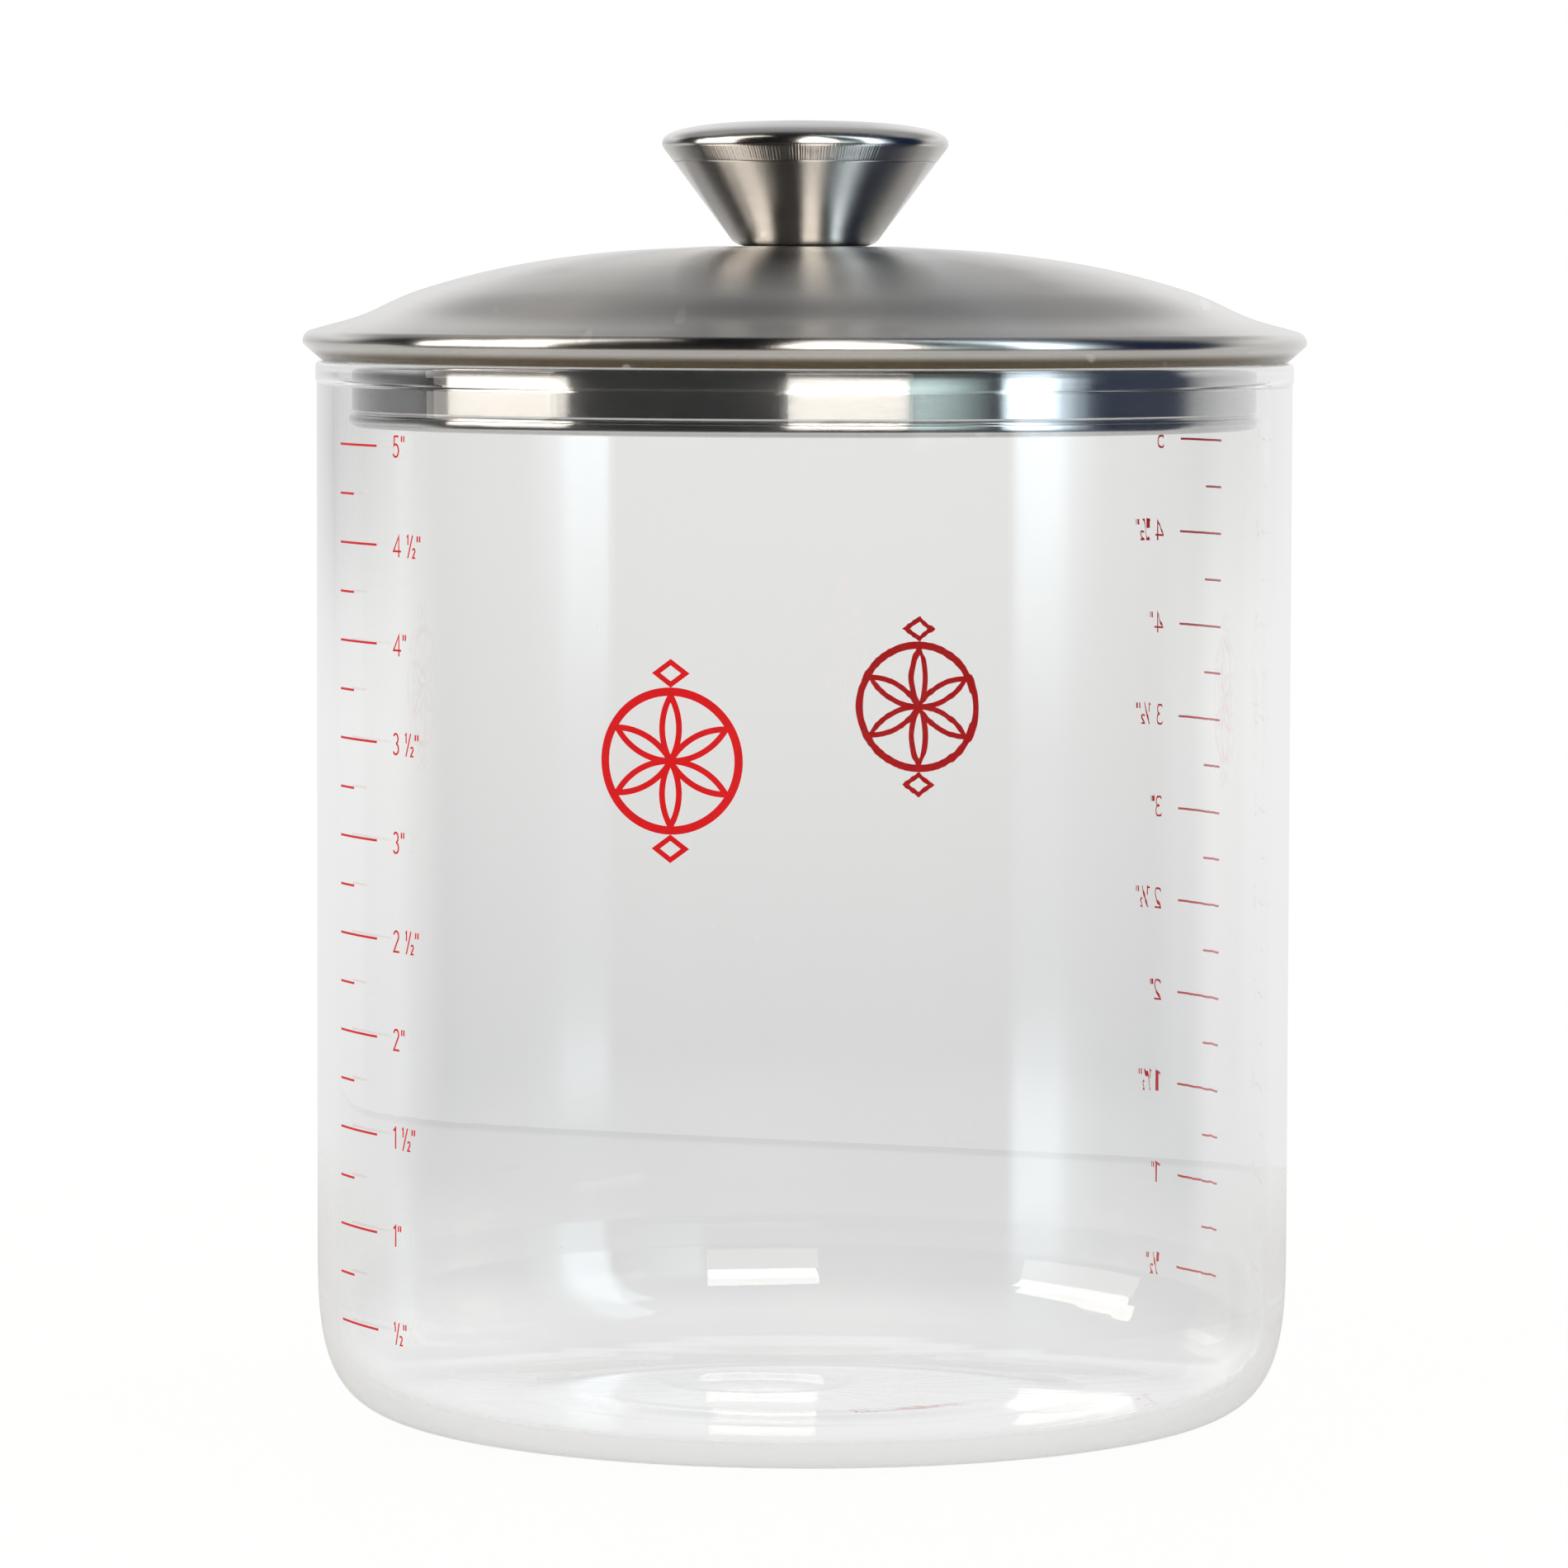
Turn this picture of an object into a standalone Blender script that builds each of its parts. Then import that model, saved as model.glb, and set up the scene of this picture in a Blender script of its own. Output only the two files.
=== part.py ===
# Glass crock with a lift-off steel lid, at real size.
# Metres, +Z up. The origin lies on the table, under the middle of the crock.
# Every piece is turned about the Z axis from an outline of (radius, height) points.

import math

import bmesh
import bpy
from mathutils import Vector

# Air left between two pieces that touch on the real object
SEAT_GAP = 0.0003
WELD_DISTANCE = 0.000001
OVERRUN = 0.002

# Crock: a thin glass cylinder with a soft heel and a fire-polished rim
CROCK_RADIUS = 0.0646
CROCK_HEIGHT = 0.1398
WALL = 0.0024
FLOOR = 0.0024
HEEL_REACH = 0.018
HEEL_RISE = 0.025
RIM_SWELL = 0.00017
RIM_BAND = 0.00095
RIM_FADE = 0.0007
FOOT_RING = 0.007
PUSH_UP = 0.0008
MARK_RADIUS = 0.014
MARK_DEPTH = 0.0006

# Lid dome: pressed sheet with its edge turned under
LID_OVERHANG = 0.00184
LID_SHEET = 0.0006
LID_CROWN = 0.0126
EDGE_RISE = 0.0023
LIP_START = 0.0005
LIP_LAND = 0.0011

# Lid skirt: drawn ring with a flange, a groove and a curled bead
SKIRT_CLEARANCE = 0.00224
SKIRT_SHEET = 0.0005
SKIRT_FILLET = 0.002
SKIRT_DEPTH = 0.0089
BEAD_BEND = 0.0004
BEAD_SWELL = 0.00024
GROOVE_DEPTH = 0.0003
GROOVE_WIDTH = 0.0005

# Knob: a sheet cone closed by a crimped cap
KNOB_RADIUS = 0.01895
KNOB_FOOT_RADIUS = 0.0091
KNOB_FOOT_ROUND = 0.0026
KNOB_SHOULDER = 0.0132
KNOB_CROWN = 0.0031
KNOB_SHEET = 0.0006
CAP_SHEET = 0.0005
CAP_HEM = 0.0023

# Fixing: a pan-head screw from below, its split washer, and the bush inside the knob
SCREW_RADIUS = 0.0025
SCREW_TIP = 0.0006
HOLE_CLEARANCE = 0.0004
HEAD_LEDGE = 0.00225
HEAD_HEIGHT = 0.003
HEAD_ROUND = 0.0014
RECESS_SPAN = 0.0052
RECESS_WIDTH = 0.0011
RECESS_DEPTH = 0.0019
WASHER_WIDTH = 0.0018
WASHER_THICKNESS = 0.0012
WASHER_SLIT = 0.0009
WASHER_SLIT_TILT = math.radians(35)
BUSH_WALL = 0.0017
BUSH_LENGTH = 0.009
BUSH_CLEARANCE = 0.0026
BUSH_FLANGE = 0.0015

# Places on the dome's outline, as shares of its reach and of its crown, from the knob out to the edge
DOME_SHARES = (
    (0.19, 1.0),
    (0.4, 0.933),
    (0.6, 0.782),
    (0.78, 0.536),
    (0.896, 0.275),
    (0.981, 0.144),
)
# Power of a rounded corner: 1 is an ellipse, and less is fuller
HEEL_POWER_SHARE = 0.55
KNOB_POWER_SHARE = 0.8

# How finely each shape is divided
CROCK_SEGMENTS = 60
KNOB_SEGMENTS = 40
SCREW_SEGMENTS = 24
SMOOTH_BELOW = math.radians(32)

# Places that follow from the sizes above
INNER_RADIUS = CROCK_RADIUS - WALL
SEAT_HEIGHT = CROCK_HEIGHT + SEAT_GAP
LID_RADIUS = CROCK_RADIUS + LID_OVERHANG
LID_ROLL = LID_SHEET + SEAT_GAP + SKIRT_SHEET / 2
LID_REACH = LID_RADIUS - LID_ROLL
EDGE_HEIGHT = SEAT_HEIGHT + EDGE_RISE
LID_TOP = EDGE_HEIGHT + LID_CROWN
SKIRT_RADIUS = INNER_RADIUS - SKIRT_CLEARANCE
SCREW_HOLE = SCREW_RADIUS + HOLE_CLEARANCE
THREAD_BORE = SCREW_RADIUS + SEAT_GAP
KNOB_FOOT = LID_TOP + SEAT_GAP
KNOB_EDGE_HEIGHT = KNOB_FOOT + KNOB_SHOULDER
KNOB_ROLL = CAP_SHEET + SEAT_GAP
WASHER_TOP = LID_TOP - LID_SHEET - SEAT_GAP
HEAD_TOP = WASHER_TOP - WASHER_THICKNESS - SEAT_GAP
BUSH_FOOT = KNOB_FOOT + KNOB_SHEET + SEAT_GAP


def clear_scene():
    for obj in list(bpy.data.objects):
        bpy.data.objects.remove(obj, do_unlink=True)


def principled(name, colour, roughness, metallic):
    material = bpy.data.materials.new(name)
    material.use_nodes = True
    shader = material.node_tree.nodes["Principled BSDF"]
    shader.inputs["Base Color"].default_value = (*colour, 1)
    shader.inputs["Roughness"].default_value = roughness
    shader.inputs["Metallic"].default_value = metallic
    return material


def clear_glass():
    material = principled("clear_glass", (0.97, 0.98, 0.98), 0.02, 0)
    shader = material.node_tree.nodes["Principled BSDF"]
    shader.inputs["Transmission Weight"].default_value = 1
    shader.inputs["IOR"].default_value = 1.47
    return material


def brushed_steel(name):
    return principled(name, (0.56, 0.55, 0.53), 0.3, 1)


def polished_steel():
    return principled("polished_steel", (0.62, 0.61, 0.6), 0.16, 1)


def zinc_plate(name):
    return principled(name, (0.5, 0.5, 0.48), 0.36, 1)


def brass():
    return principled("brass", (0.72, 0.53, 0.27), 0.3, 1)


def arc(centre, radius, start, end, steps):
    """Points on a circle, with angles in degrees from outwards (0) to upwards (90)."""
    points = []
    for step in range(steps + 1):
        angle = math.radians(start + (end - start) * step / steps)
        points.append(centre + radius * Vector((math.cos(angle), math.sin(angle))))
    return points


def full_corner(centre, reach, rise, power, steps):
    """A quarter of a superellipse, from level with its centre to straight above or below it."""
    points = []
    for step in range(steps + 1):
        angle = math.pi / 2 * step / steps
        across = abs(math.cos(angle)) ** power if step < steps else 0
        points.append(centre + Vector((reach * across, rise * math.sin(angle) ** power)))
    return points


def smooth_through(points, steps):
    """A Catmull-Rom curve through the points."""
    padded = [2 * points[0] - points[1], *points, 2 * points[-1] - points[-2]]
    curve = [points[0]]
    for before, start, end, after in zip(padded, padded[1:], padded[2:], padded[3:]):
        for step in range(1, steps + 1):
            t = step / steps
            curve.append(
                0.5
                * (
                    2 * start
                    + (end - before) * t
                    + (2 * before - 5 * start + 4 * end - after) * t**2
                    + (3 * start - before - 3 * end + after) * t**3
                )
            )
    return curve


def tangent_from(foot, centre, radius):
    """Where a line from foot touches the right side of a circle, and the line's angle."""
    across = centre - foot
    lean = math.atan2(across.y, across.x) - math.asin(radius / across.length)
    along = Vector((math.cos(lean), math.sin(lean)))
    return foot + along * across.dot(along), lean


def left_of(start, end):
    """The unit vector at a right angle to a run, on its left."""
    run = (end - start).normalized()
    return Vector((-run.y, run.x))


def beside(line, distance):
    """The line moved to its left by a distance, with its corners kept square."""
    moved = []
    for place, point in enumerate(line):
        before = left_of(line[place - 1], point) if place else left_of(point, line[1])
        after = left_of(point, line[place + 1]) if place + 1 < len(line) else before
        middle = (before + after).normalized()
        moved.append(point + middle * distance / middle.dot(after))
    return moved


def sheet(line, thickness):
    """The closed outline of a sheet that lies on the left of a line."""
    return line + beside(line, thickness)[::-1]


def turned(name, outline, segments, material):
    """A body of revolution. Points at radius zero become one point on the axis."""
    shape = bmesh.new()
    corners = [shape.verts.new((radius, 0, height)) for radius, height in outline]
    edges = [shape.edges.new(pair) for pair in zip(corners, corners[1:])]
    if outline[0].x > WELD_DISTANCE:
        edges.append(shape.edges.new((corners[-1], corners[0])))
    bmesh.ops.spin(
        shape,
        geom=corners + edges,
        cent=(0, 0, 0),
        axis=(0, 0, 1),
        angle=2 * math.pi,
        steps=segments,
        use_merge=True,
    )
    bmesh.ops.remove_doubles(shape, verts=shape.verts, dist=WELD_DISTANCE)
    bmesh.ops.recalc_face_normals(shape, faces=shape.faces)
    mesh = bpy.data.meshes.new(name)
    shape.to_mesh(mesh)
    shape.free()
    mesh.shade_smooth()
    mesh.set_sharp_from_angle(angle=SMOOTH_BELOW)
    mesh.materials.append(material)
    obj = bpy.data.objects.new(name, mesh)
    bpy.context.scene.collection.objects.link(obj)
    return obj


def box_cutter(name, size, location, tilt):
    """A hidden box that a Boolean takes away."""
    shape = bmesh.new()
    bmesh.ops.create_cube(shape, size=1)
    bmesh.ops.scale(shape, vec=size, verts=shape.verts)
    mesh = bpy.data.meshes.new(name)
    shape.to_mesh(mesh)
    shape.free()
    cutter = bpy.data.objects.new(name, mesh)
    cutter.location = location
    cutter.rotation_euler = tilt
    cutter.hide_render = True
    cutter.display_type = "WIRE"
    bpy.context.scene.collection.objects.link(cutter)
    return cutter


def cut(obj, cutter):
    modifier = obj.modifiers.new(cutter.name, "BOOLEAN")
    modifier.operation = "DIFFERENCE"
    modifier.solver = "EXACT"
    modifier.object = cutter


def cosine_bump(radius, reach, height):
    """A soft round rise: its full height on the axis, and nothing from its reach outwards."""
    if radius >= reach:
        return 0
    return height * (1 + math.cos(math.pi * radius / reach)) / 2


def glass_crock():
    """Down the axis and out under the floor, up the outside, over the rim, down the inside and back in."""
    heel_start = CROCK_RADIUS - HEEL_REACH
    hollow_radius = heel_start - FOOT_RING
    under_steps = 4
    under = []
    for step in range(under_steps + 1):
        radius = hollow_radius * step / under_steps
        under.append(Vector((radius, cosine_bump(radius, hollow_radius, PUSH_UP))))

    heel = full_corner(Vector((heel_start, HEEL_RISE)), HEEL_REACH, -HEEL_RISE, HEEL_POWER_SHARE, 7)
    inner_heel = full_corner(
        Vector((heel_start, HEEL_RISE)), HEEL_REACH - WALL, FLOOR - HEEL_RISE, HEEL_POWER_SHARE, 6
    )

    rim_round = WALL / 2
    rim_centre = Vector((CROCK_RADIUS - rim_round, CROCK_HEIGHT - rim_round - RIM_SWELL))
    band_foot = rim_centre.y - RIM_BAND
    rim = arc(rim_centre, rim_round + RIM_SWELL, 0, 180, 6)
    outer_fade = [
        Vector((CROCK_RADIUS, band_foot - RIM_FADE)),
        Vector((CROCK_RADIUS + RIM_SWELL, band_foot)),
    ]
    inner_fade = [
        Vector((INNER_RADIUS - RIM_SWELL, band_foot)),
        Vector((INNER_RADIUS, band_foot - RIM_FADE)),
    ]

    floor = []
    for radius in (hollow_radius, (hollow_radius + MARK_RADIUS) / 2, MARK_RADIUS, MARK_RADIUS / 2, 0):
        rise = cosine_bump(radius, hollow_radius, PUSH_UP) - cosine_bump(radius, MARK_RADIUS, MARK_DEPTH)
        floor.append(Vector((radius, FLOOR + rise)))

    outline = under + heel[::-1] + outer_fade + rim + inner_fade + inner_heel + floor
    return turned("glass_crock", outline, CROCK_SEGMENTS, clear_glass())


def lip_line():
    """The underside of the lid's turned edge: down from the roll, then flat over the rim."""
    slope_foot = Vector((CROCK_RADIUS - LIP_START, SEAT_HEIGHT))
    slope_top, lean = tangent_from(slope_foot, Vector((LID_REACH, EDGE_HEIGHT)), LID_ROLL)
    lip_end = Vector((slope_foot.x - LIP_LAND, SEAT_HEIGHT))
    return [slope_top, slope_foot, lip_end], lean


def lid_dome():
    """Over the top from the screw hole, round the edge and in under it to the end of the lip."""
    crown = [Vector((LID_REACH * out, EDGE_HEIGHT + LID_CROWN * up)) for out, up in DOME_SHARES]
    lip, lean = lip_line()
    roll_start = 70
    roll = arc(Vector((LID_REACH, EDGE_HEIGHT)), LID_ROLL, roll_start, math.degrees(lean) - 90, 6)
    line = [Vector((SCREW_HOLE, LID_TOP))] + smooth_through(crown, 2) + roll + lip[1:]
    return turned("lid_dome", sheet(line, -LID_SHEET), CROCK_SEGMENTS, brushed_steel("lid_steel"))


def lid_skirt():
    """From the flange's edge in over the rim, round the fillet, down the wall and round the bead."""
    lip, _ = lip_line()
    flange_start, flange_foot, flange_end = beside(lip, -(LID_SHEET + SEAT_GAP))
    fillet_centre = Vector((SKIRT_RADIUS + SKIRT_FILLET, flange_end.y - SKIRT_FILLET))
    fillet = arc(fillet_centre, SKIRT_FILLET, 90, 180, 4)

    bottom = SEAT_HEIGHT - SKIRT_DEPTH
    bead_round = BEAD_BEND + SKIRT_SHEET
    bead_centre = Vector((SKIRT_RADIUS + BEAD_SWELL - bead_round, bottom + bead_round))
    curl_start, curl_end = 50, -170
    bead = arc(bead_centre, bead_round, curl_start, curl_end, 7)
    groove = bottom + 2 * bead_round
    wall = [
        Vector((SKIRT_RADIUS, groove + GROOVE_WIDTH)),
        Vector((SKIRT_RADIUS - GROOVE_DEPTH, groove)),
    ]
    line = [flange_start, flange_foot] + fillet + wall + bead
    return turned("lid_skirt", sheet(line, -SKIRT_SHEET), CROCK_SEGMENTS, polished_steel())


def cone_line():
    """The knob's cone: its foot corner, where it meets the rounding of the cap's edge, and its angle."""
    foot = Vector((KNOB_FOOT_RADIUS, KNOB_FOOT))
    top, lean = tangent_from(foot, Vector((KNOB_RADIUS - KNOB_ROLL, KNOB_EDGE_HEIGHT)), KNOB_ROLL)
    return foot, top, lean


def knob_body():
    """Out along the foot, round its corner, up the cone, and in under the cap's hem."""
    foot, top, lean = cone_line()
    along = (top - foot).normalized()
    trim = KNOB_FOOT_ROUND * math.tan(lean / 2)
    round_centre = Vector((foot.x - trim, foot.y + KNOB_FOOT_ROUND))
    rounding = arc(round_centre, KNOB_FOOT_ROUND, -90, math.degrees(lean) - 90, 4)
    hem_foot = top - along * CAP_HEM
    below_hem = hem_foot - along * SEAT_GAP
    tuck_start, tuck_end = beside([below_hem, top - along * SEAT_GAP], KNOB_ROLL)
    line = [Vector((SCREW_HOLE, foot.y))] + rounding + [below_hem, tuck_start, tuck_end]
    return turned("knob_body", sheet(line, KNOB_SHEET), KNOB_SEGMENTS, brushed_steel("knob_steel"))


def knob_cap():
    """Over the crown, round the edge, and down the cone to the end of the crimped hem."""
    foot, top, lean = cone_line()
    along = (top - foot).normalized()
    centre = Vector((0, KNOB_EDGE_HEIGHT))
    crown = full_corner(centre, KNOB_RADIUS, KNOB_CROWN, KNOB_POWER_SHARE, 8)[::-1]
    roll_centre = Vector((KNOB_RADIUS - KNOB_ROLL, KNOB_EDGE_HEIGHT))
    roll = arc(roll_centre, KNOB_ROLL, 0, math.degrees(lean) - 90, 4)
    line = crown + roll[1:] + [top - along * CAP_HEM]
    outline = sheet(line, -CAP_SHEET)
    outline[-1].x = 0
    return turned("knob_cap", outline, KNOB_SEGMENTS, brushed_steel("cap_steel"))


def knob_bush():
    """A threaded sleeve with a flange that is soldered to the inside of the knob's foot."""
    flange_radius = KNOB_FOOT_RADIUS - BUSH_CLEARANCE
    sleeve_radius = THREAD_BORE + BUSH_WALL
    outline = [
        Vector((THREAD_BORE, BUSH_FOOT)),
        Vector((flange_radius, BUSH_FOOT)),
        Vector((flange_radius, BUSH_FOOT + BUSH_FLANGE)),
        Vector((sleeve_radius, BUSH_FOOT + BUSH_FLANGE)),
        Vector((sleeve_radius, BUSH_FOOT + BUSH_LENGTH)),
        Vector((THREAD_BORE, BUSH_FOOT + BUSH_LENGTH)),
    ]
    return turned("knob_bush", outline, SCREW_SEGMENTS, brass())


def knob_screw():
    """From the middle of the head, out and up round it, then up the shank to its tip."""
    head_foot = HEAD_TOP - HEAD_HEIGHT
    head_radius = SCREW_RADIUS + HEAD_LEDGE
    tip = BUSH_FOOT + BUSH_LENGTH - SCREW_TIP
    round_centre = Vector((head_radius - HEAD_ROUND, head_foot + HEAD_ROUND))
    outline = [
        Vector((0, head_foot)),
        *arc(round_centre, HEAD_ROUND, -90, 0, 4),
        Vector((head_radius, HEAD_TOP)),
        Vector((SCREW_RADIUS, HEAD_TOP)),
        Vector((SCREW_RADIUS, tip - SCREW_TIP)),
        Vector((SCREW_RADIUS - SCREW_TIP, tip)),
        Vector((0, tip)),
    ]
    screw = turned("knob_screw", outline, SCREW_SEGMENTS, zinc_plate("screw_zinc"))
    slot_depth = RECESS_DEPTH + OVERRUN
    slot_place = (0, 0, head_foot + RECESS_DEPTH - slot_depth / 2)
    slot_size = (RECESS_SPAN, RECESS_WIDTH, slot_depth)
    for name, turn in (("recess_across", 0), ("recess_along", math.pi / 2)):
        cut(screw, box_cutter(name, slot_size, slot_place, (0, 0, turn)))
    return screw


def lock_washer():
    """A ring with one slanted slit through it."""
    foot = WASHER_TOP - WASHER_THICKNESS
    rim = THREAD_BORE + WASHER_WIDTH
    outline = [
        Vector((THREAD_BORE, foot)),
        Vector((rim, foot)),
        Vector((rim, WASHER_TOP)),
        Vector((THREAD_BORE, WASHER_TOP)),
    ]
    washer = turned("lock_washer", outline, SCREW_SEGMENTS, zinc_plate("washer_zinc"))
    slit_size = (rim, WASHER_SLIT, WASHER_THICKNESS + 2 * OVERRUN)
    slit_place = ((THREAD_BORE + rim) / 2, 0, foot + WASHER_THICKNESS / 2)
    cut(washer, box_cutter("washer_slit", slit_size, slit_place, (WASHER_SLIT_TILT, 0, 0)))
    return washer


def main():
    clear_scene()
    glass_crock()
    lid_dome()
    lid_skirt()
    knob_body()
    knob_cap()
    knob_bush()
    knob_screw()
    lock_washer()


main()
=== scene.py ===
import math

import bmesh
import bpy
from mathutils import Matrix, Vector


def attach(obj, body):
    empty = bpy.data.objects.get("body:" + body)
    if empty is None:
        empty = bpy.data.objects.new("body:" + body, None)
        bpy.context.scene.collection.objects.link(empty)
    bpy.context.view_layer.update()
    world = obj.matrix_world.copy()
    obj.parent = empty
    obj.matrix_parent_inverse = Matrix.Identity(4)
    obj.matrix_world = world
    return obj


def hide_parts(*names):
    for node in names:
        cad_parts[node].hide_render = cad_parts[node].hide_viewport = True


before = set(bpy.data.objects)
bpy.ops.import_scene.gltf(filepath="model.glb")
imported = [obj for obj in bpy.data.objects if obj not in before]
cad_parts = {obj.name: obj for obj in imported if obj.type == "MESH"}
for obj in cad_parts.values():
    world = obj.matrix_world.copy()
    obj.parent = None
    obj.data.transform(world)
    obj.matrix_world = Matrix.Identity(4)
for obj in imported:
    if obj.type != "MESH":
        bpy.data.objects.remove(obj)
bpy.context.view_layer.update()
print("frame loaded:", sorted(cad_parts))

tiny = 0.00001
seatGap = 0.0003  # air between pieces that touch on the real object
trappedAfter = 2.5  # mirrored more often than this, a ray counts as trapped in the glass


# Outlines are lists of (distance from the axis, height), in metres

def arcPoints(centre, radius, start, end, steps):
    points = []
    for step in range(steps + 1):
        angle = math.radians(start + (end - start) * step / steps)
        points.append(centre + radius * Vector((math.cos(angle), math.sin(angle))))
    return points


def fullCorner(centre, reach, rise, power, steps):
    points = []
    for step in range(steps + 1):
        angle = math.pi / 2 * step / steps
        across = abs(math.cos(angle)) ** power if step < steps else 0
        points.append(centre + Vector((reach * across, rise * math.sin(angle) ** power)))
    return points


def smoothThrough(points, steps):
    padded = [2 * points[0] - points[1], *points, 2 * points[-1] - points[-2]]
    curve = [points[0]]
    for before, start, end, after in zip(padded, padded[1:], padded[2:], padded[3:]):
        for step in range(1, steps + 1):
            t = step / steps
            linear = 2 * start + (end - before) * t
            square = (2 * before - 5 * start + 4 * end - after) * t**2
            cube = (3 * start - before - 3 * end + after) * t**3
            curve.append(0.5 * (linear + square + cube))
    return curve


def tangentFrom(foot, centre, radius):
    across = centre - foot
    lean = math.atan2(across.y, across.x) - math.asin(radius / across.length)
    along = Vector((math.cos(lean), math.sin(lean)))
    return foot + along * across.dot(along), lean


def leftOf(start, end):
    run = (end - start).normalized()
    return Vector((-run.y, run.x))


def beside(line, distance):
    moved = []
    for place, point in enumerate(line):
        before = leftOf(line[place - 1], point) if place else leftOf(point, line[1])
        after = leftOf(point, line[place + 1]) if place + 1 < len(line) else before
        middle = (before + after).normalized()
        moved.append(point + middle * distance / middle.dot(after))
    return moved


def sheetOutline(line, thickness):
    return line + beside(line, thickness)[::-1]


# Sheet edges and bends get a small round, so that they catch the light
def softened(outline, size, sharperThan=35):
    rounded = []
    count = len(outline)
    for place, point in enumerate(outline):
        before = outline[place - 1] - point
        after = outline[(place + 1) % count] - point
        turn = 180 - math.degrees(before.angle(after))
        if turn < sharperThan or point.x < tiny:
            rounded.append(point)
            continue
        start = point + before.normalized() * min(size, before.length / 2.2)
        end = point + after.normalized() * min(size, after.length / 2.2)
        for step in range(5):
            t = step / 4
            rounded.append(start * (1 - t) ** 2 + point * 2 * t * (1 - t) + end * t**2)
    return rounded


def meshPiece(name, vertices, faces, sharpAbove=30):
    mesh = bpy.data.meshes.new(name)
    mesh.from_pydata(vertices, [], faces)
    shape = bmesh.new()
    shape.from_mesh(mesh)
    bmesh.ops.recalc_face_normals(shape, faces=shape.faces)
    shape.to_mesh(mesh)
    shape.free()
    mesh.shade_smooth()
    mesh.set_sharp_from_angle(angle=math.radians(sharpAbove))
    piece = bpy.data.objects.new(name, mesh)
    bpy.context.scene.collection.objects.link(piece)
    return piece


# Two points more in each long straight run, near its ends, so that the shading stays straight too
def supported(outline, reach=0.00025):
    points = []
    for here, after in zip(outline, outline[1:] + outline[:1]):
        points.append(here)
        run = after - here
        if run.length > 4 * reach and max(here.x, after.x) > tiny:
            points += [here + run.normalized() * reach, after - run.normalized() * reach]
    return points


# Turns an outline about the Z axis. shift(radius, height, angle) may move each point a little.
def turned(name, outline, segments, shift=None, sharpAbove=30):
    vertices, rings = [], []
    for radius, height in supported(outline):
        if radius < tiny:
            place = shift(0, height, 0) if shift else (0, height)
            rings.append([len(vertices)] * segments)
            vertices.append((0, 0, place[1]))
            continue
        rings.append(list(range(len(vertices), len(vertices) + segments)))
        for step in range(segments):
            angle = 2 * math.pi * step / segments
            r, z = shift(radius, height, angle) if shift else (radius, height)
            vertices.append((r * math.sin(angle), -r * math.cos(angle), z))
    pairs = list(zip(rings, rings[1:]))
    if outline[0][0] > tiny:
        pairs.append((rings[-1], rings[0]))
    faces = []
    for lower, upper in pairs:
        for step in range(segments):
            after = (step + 1) % segments
            corners = [lower[step], lower[after], upper[after], upper[step]]
            face = list(dict.fromkeys(corners))
            if len(face) > 2:
                faces.append(face)
    return meshPiece(name, vertices, faces, sharpAbove)


# Node tools

def addNode(tree, kind, **settings):
    made = tree.nodes.new(kind)
    for name, value in settings.items():
        setattr(made, name, value)
    return made


def feed(tree, socket, value):
    if isinstance(value, bpy.types.NodeSocket):
        tree.links.new(value, socket)
    else:
        socket.default_value = value


def calc(tree, operation, *values, clamp=False):
    made = addNode(tree, "ShaderNodeMath", operation=operation, use_clamp=clamp)
    for socket, value in zip(made.inputs, values):
        feed(tree, socket, value)
    return made.outputs[0]


def joined(tree, x, y, z):
    made = addNode(tree, "ShaderNodeCombineXYZ")
    for socket, value in zip(made.inputs, (x, y, z)):
        feed(tree, socket, value)
    return made.outputs[0]


def remapped(tree, value, low, high, toLow=0.0, toHigh=1.0, smooth=False):
    made = addNode(tree, "ShaderNodeMapRange")
    if smooth:
        made.interpolation_type = "SMOOTHSTEP"
    for title, number in (
        ("Value", value), ("From Min", low), ("From Max", high), ("To Min", toLow), ("To Max", toHigh)
    ):
        feed(tree, made.inputs[title], number)
    return made.outputs["Result"]


def mixedColour(tree, factor, first, second, blend="MIX"):
    made = addNode(tree, "ShaderNodeMix", data_type="RGBA", blend_type=blend)
    feed(tree, made.inputs["Factor"], factor)
    feed(tree, made.inputs[6], first)
    feed(tree, made.inputs[7], second)
    return made.outputs[2]


def noise(tree, vector, scale, detail=2.0, roughness=0.5):
    made = addNode(tree, "ShaderNodeTexNoise")
    feed(tree, made.inputs["Vector"], vector)
    feed(tree, made.inputs["Scale"], scale)
    made.inputs["Detail"].default_value = detail
    made.inputs["Roughness"].default_value = roughness
    return made.outputs["Fac"]


def newGroup(name, inputs, outputs):
    group = bpy.data.node_groups.new(name, "ShaderNodeTree")
    for title, default in inputs.items():
        socket = group.interface.new_socket(title, in_out="INPUT", socket_type="NodeSocketFloat")
        socket.default_value = default
    for title in outputs:
        group.interface.new_socket(title, in_out="OUTPUT", socket_type="NodeSocketFloat")
    given = group.nodes.new("NodeGroupInput").outputs
    wanted = group.nodes.new("NodeGroupOutput").inputs
    return group, given, wanted


def placeGroup(tree, group, values):
    made = addNode(tree, "ShaderNodeGroup", node_tree=group)
    for title, value in values.items():
        feed(tree, made.inputs[title], value)
    return made.outputs


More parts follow.
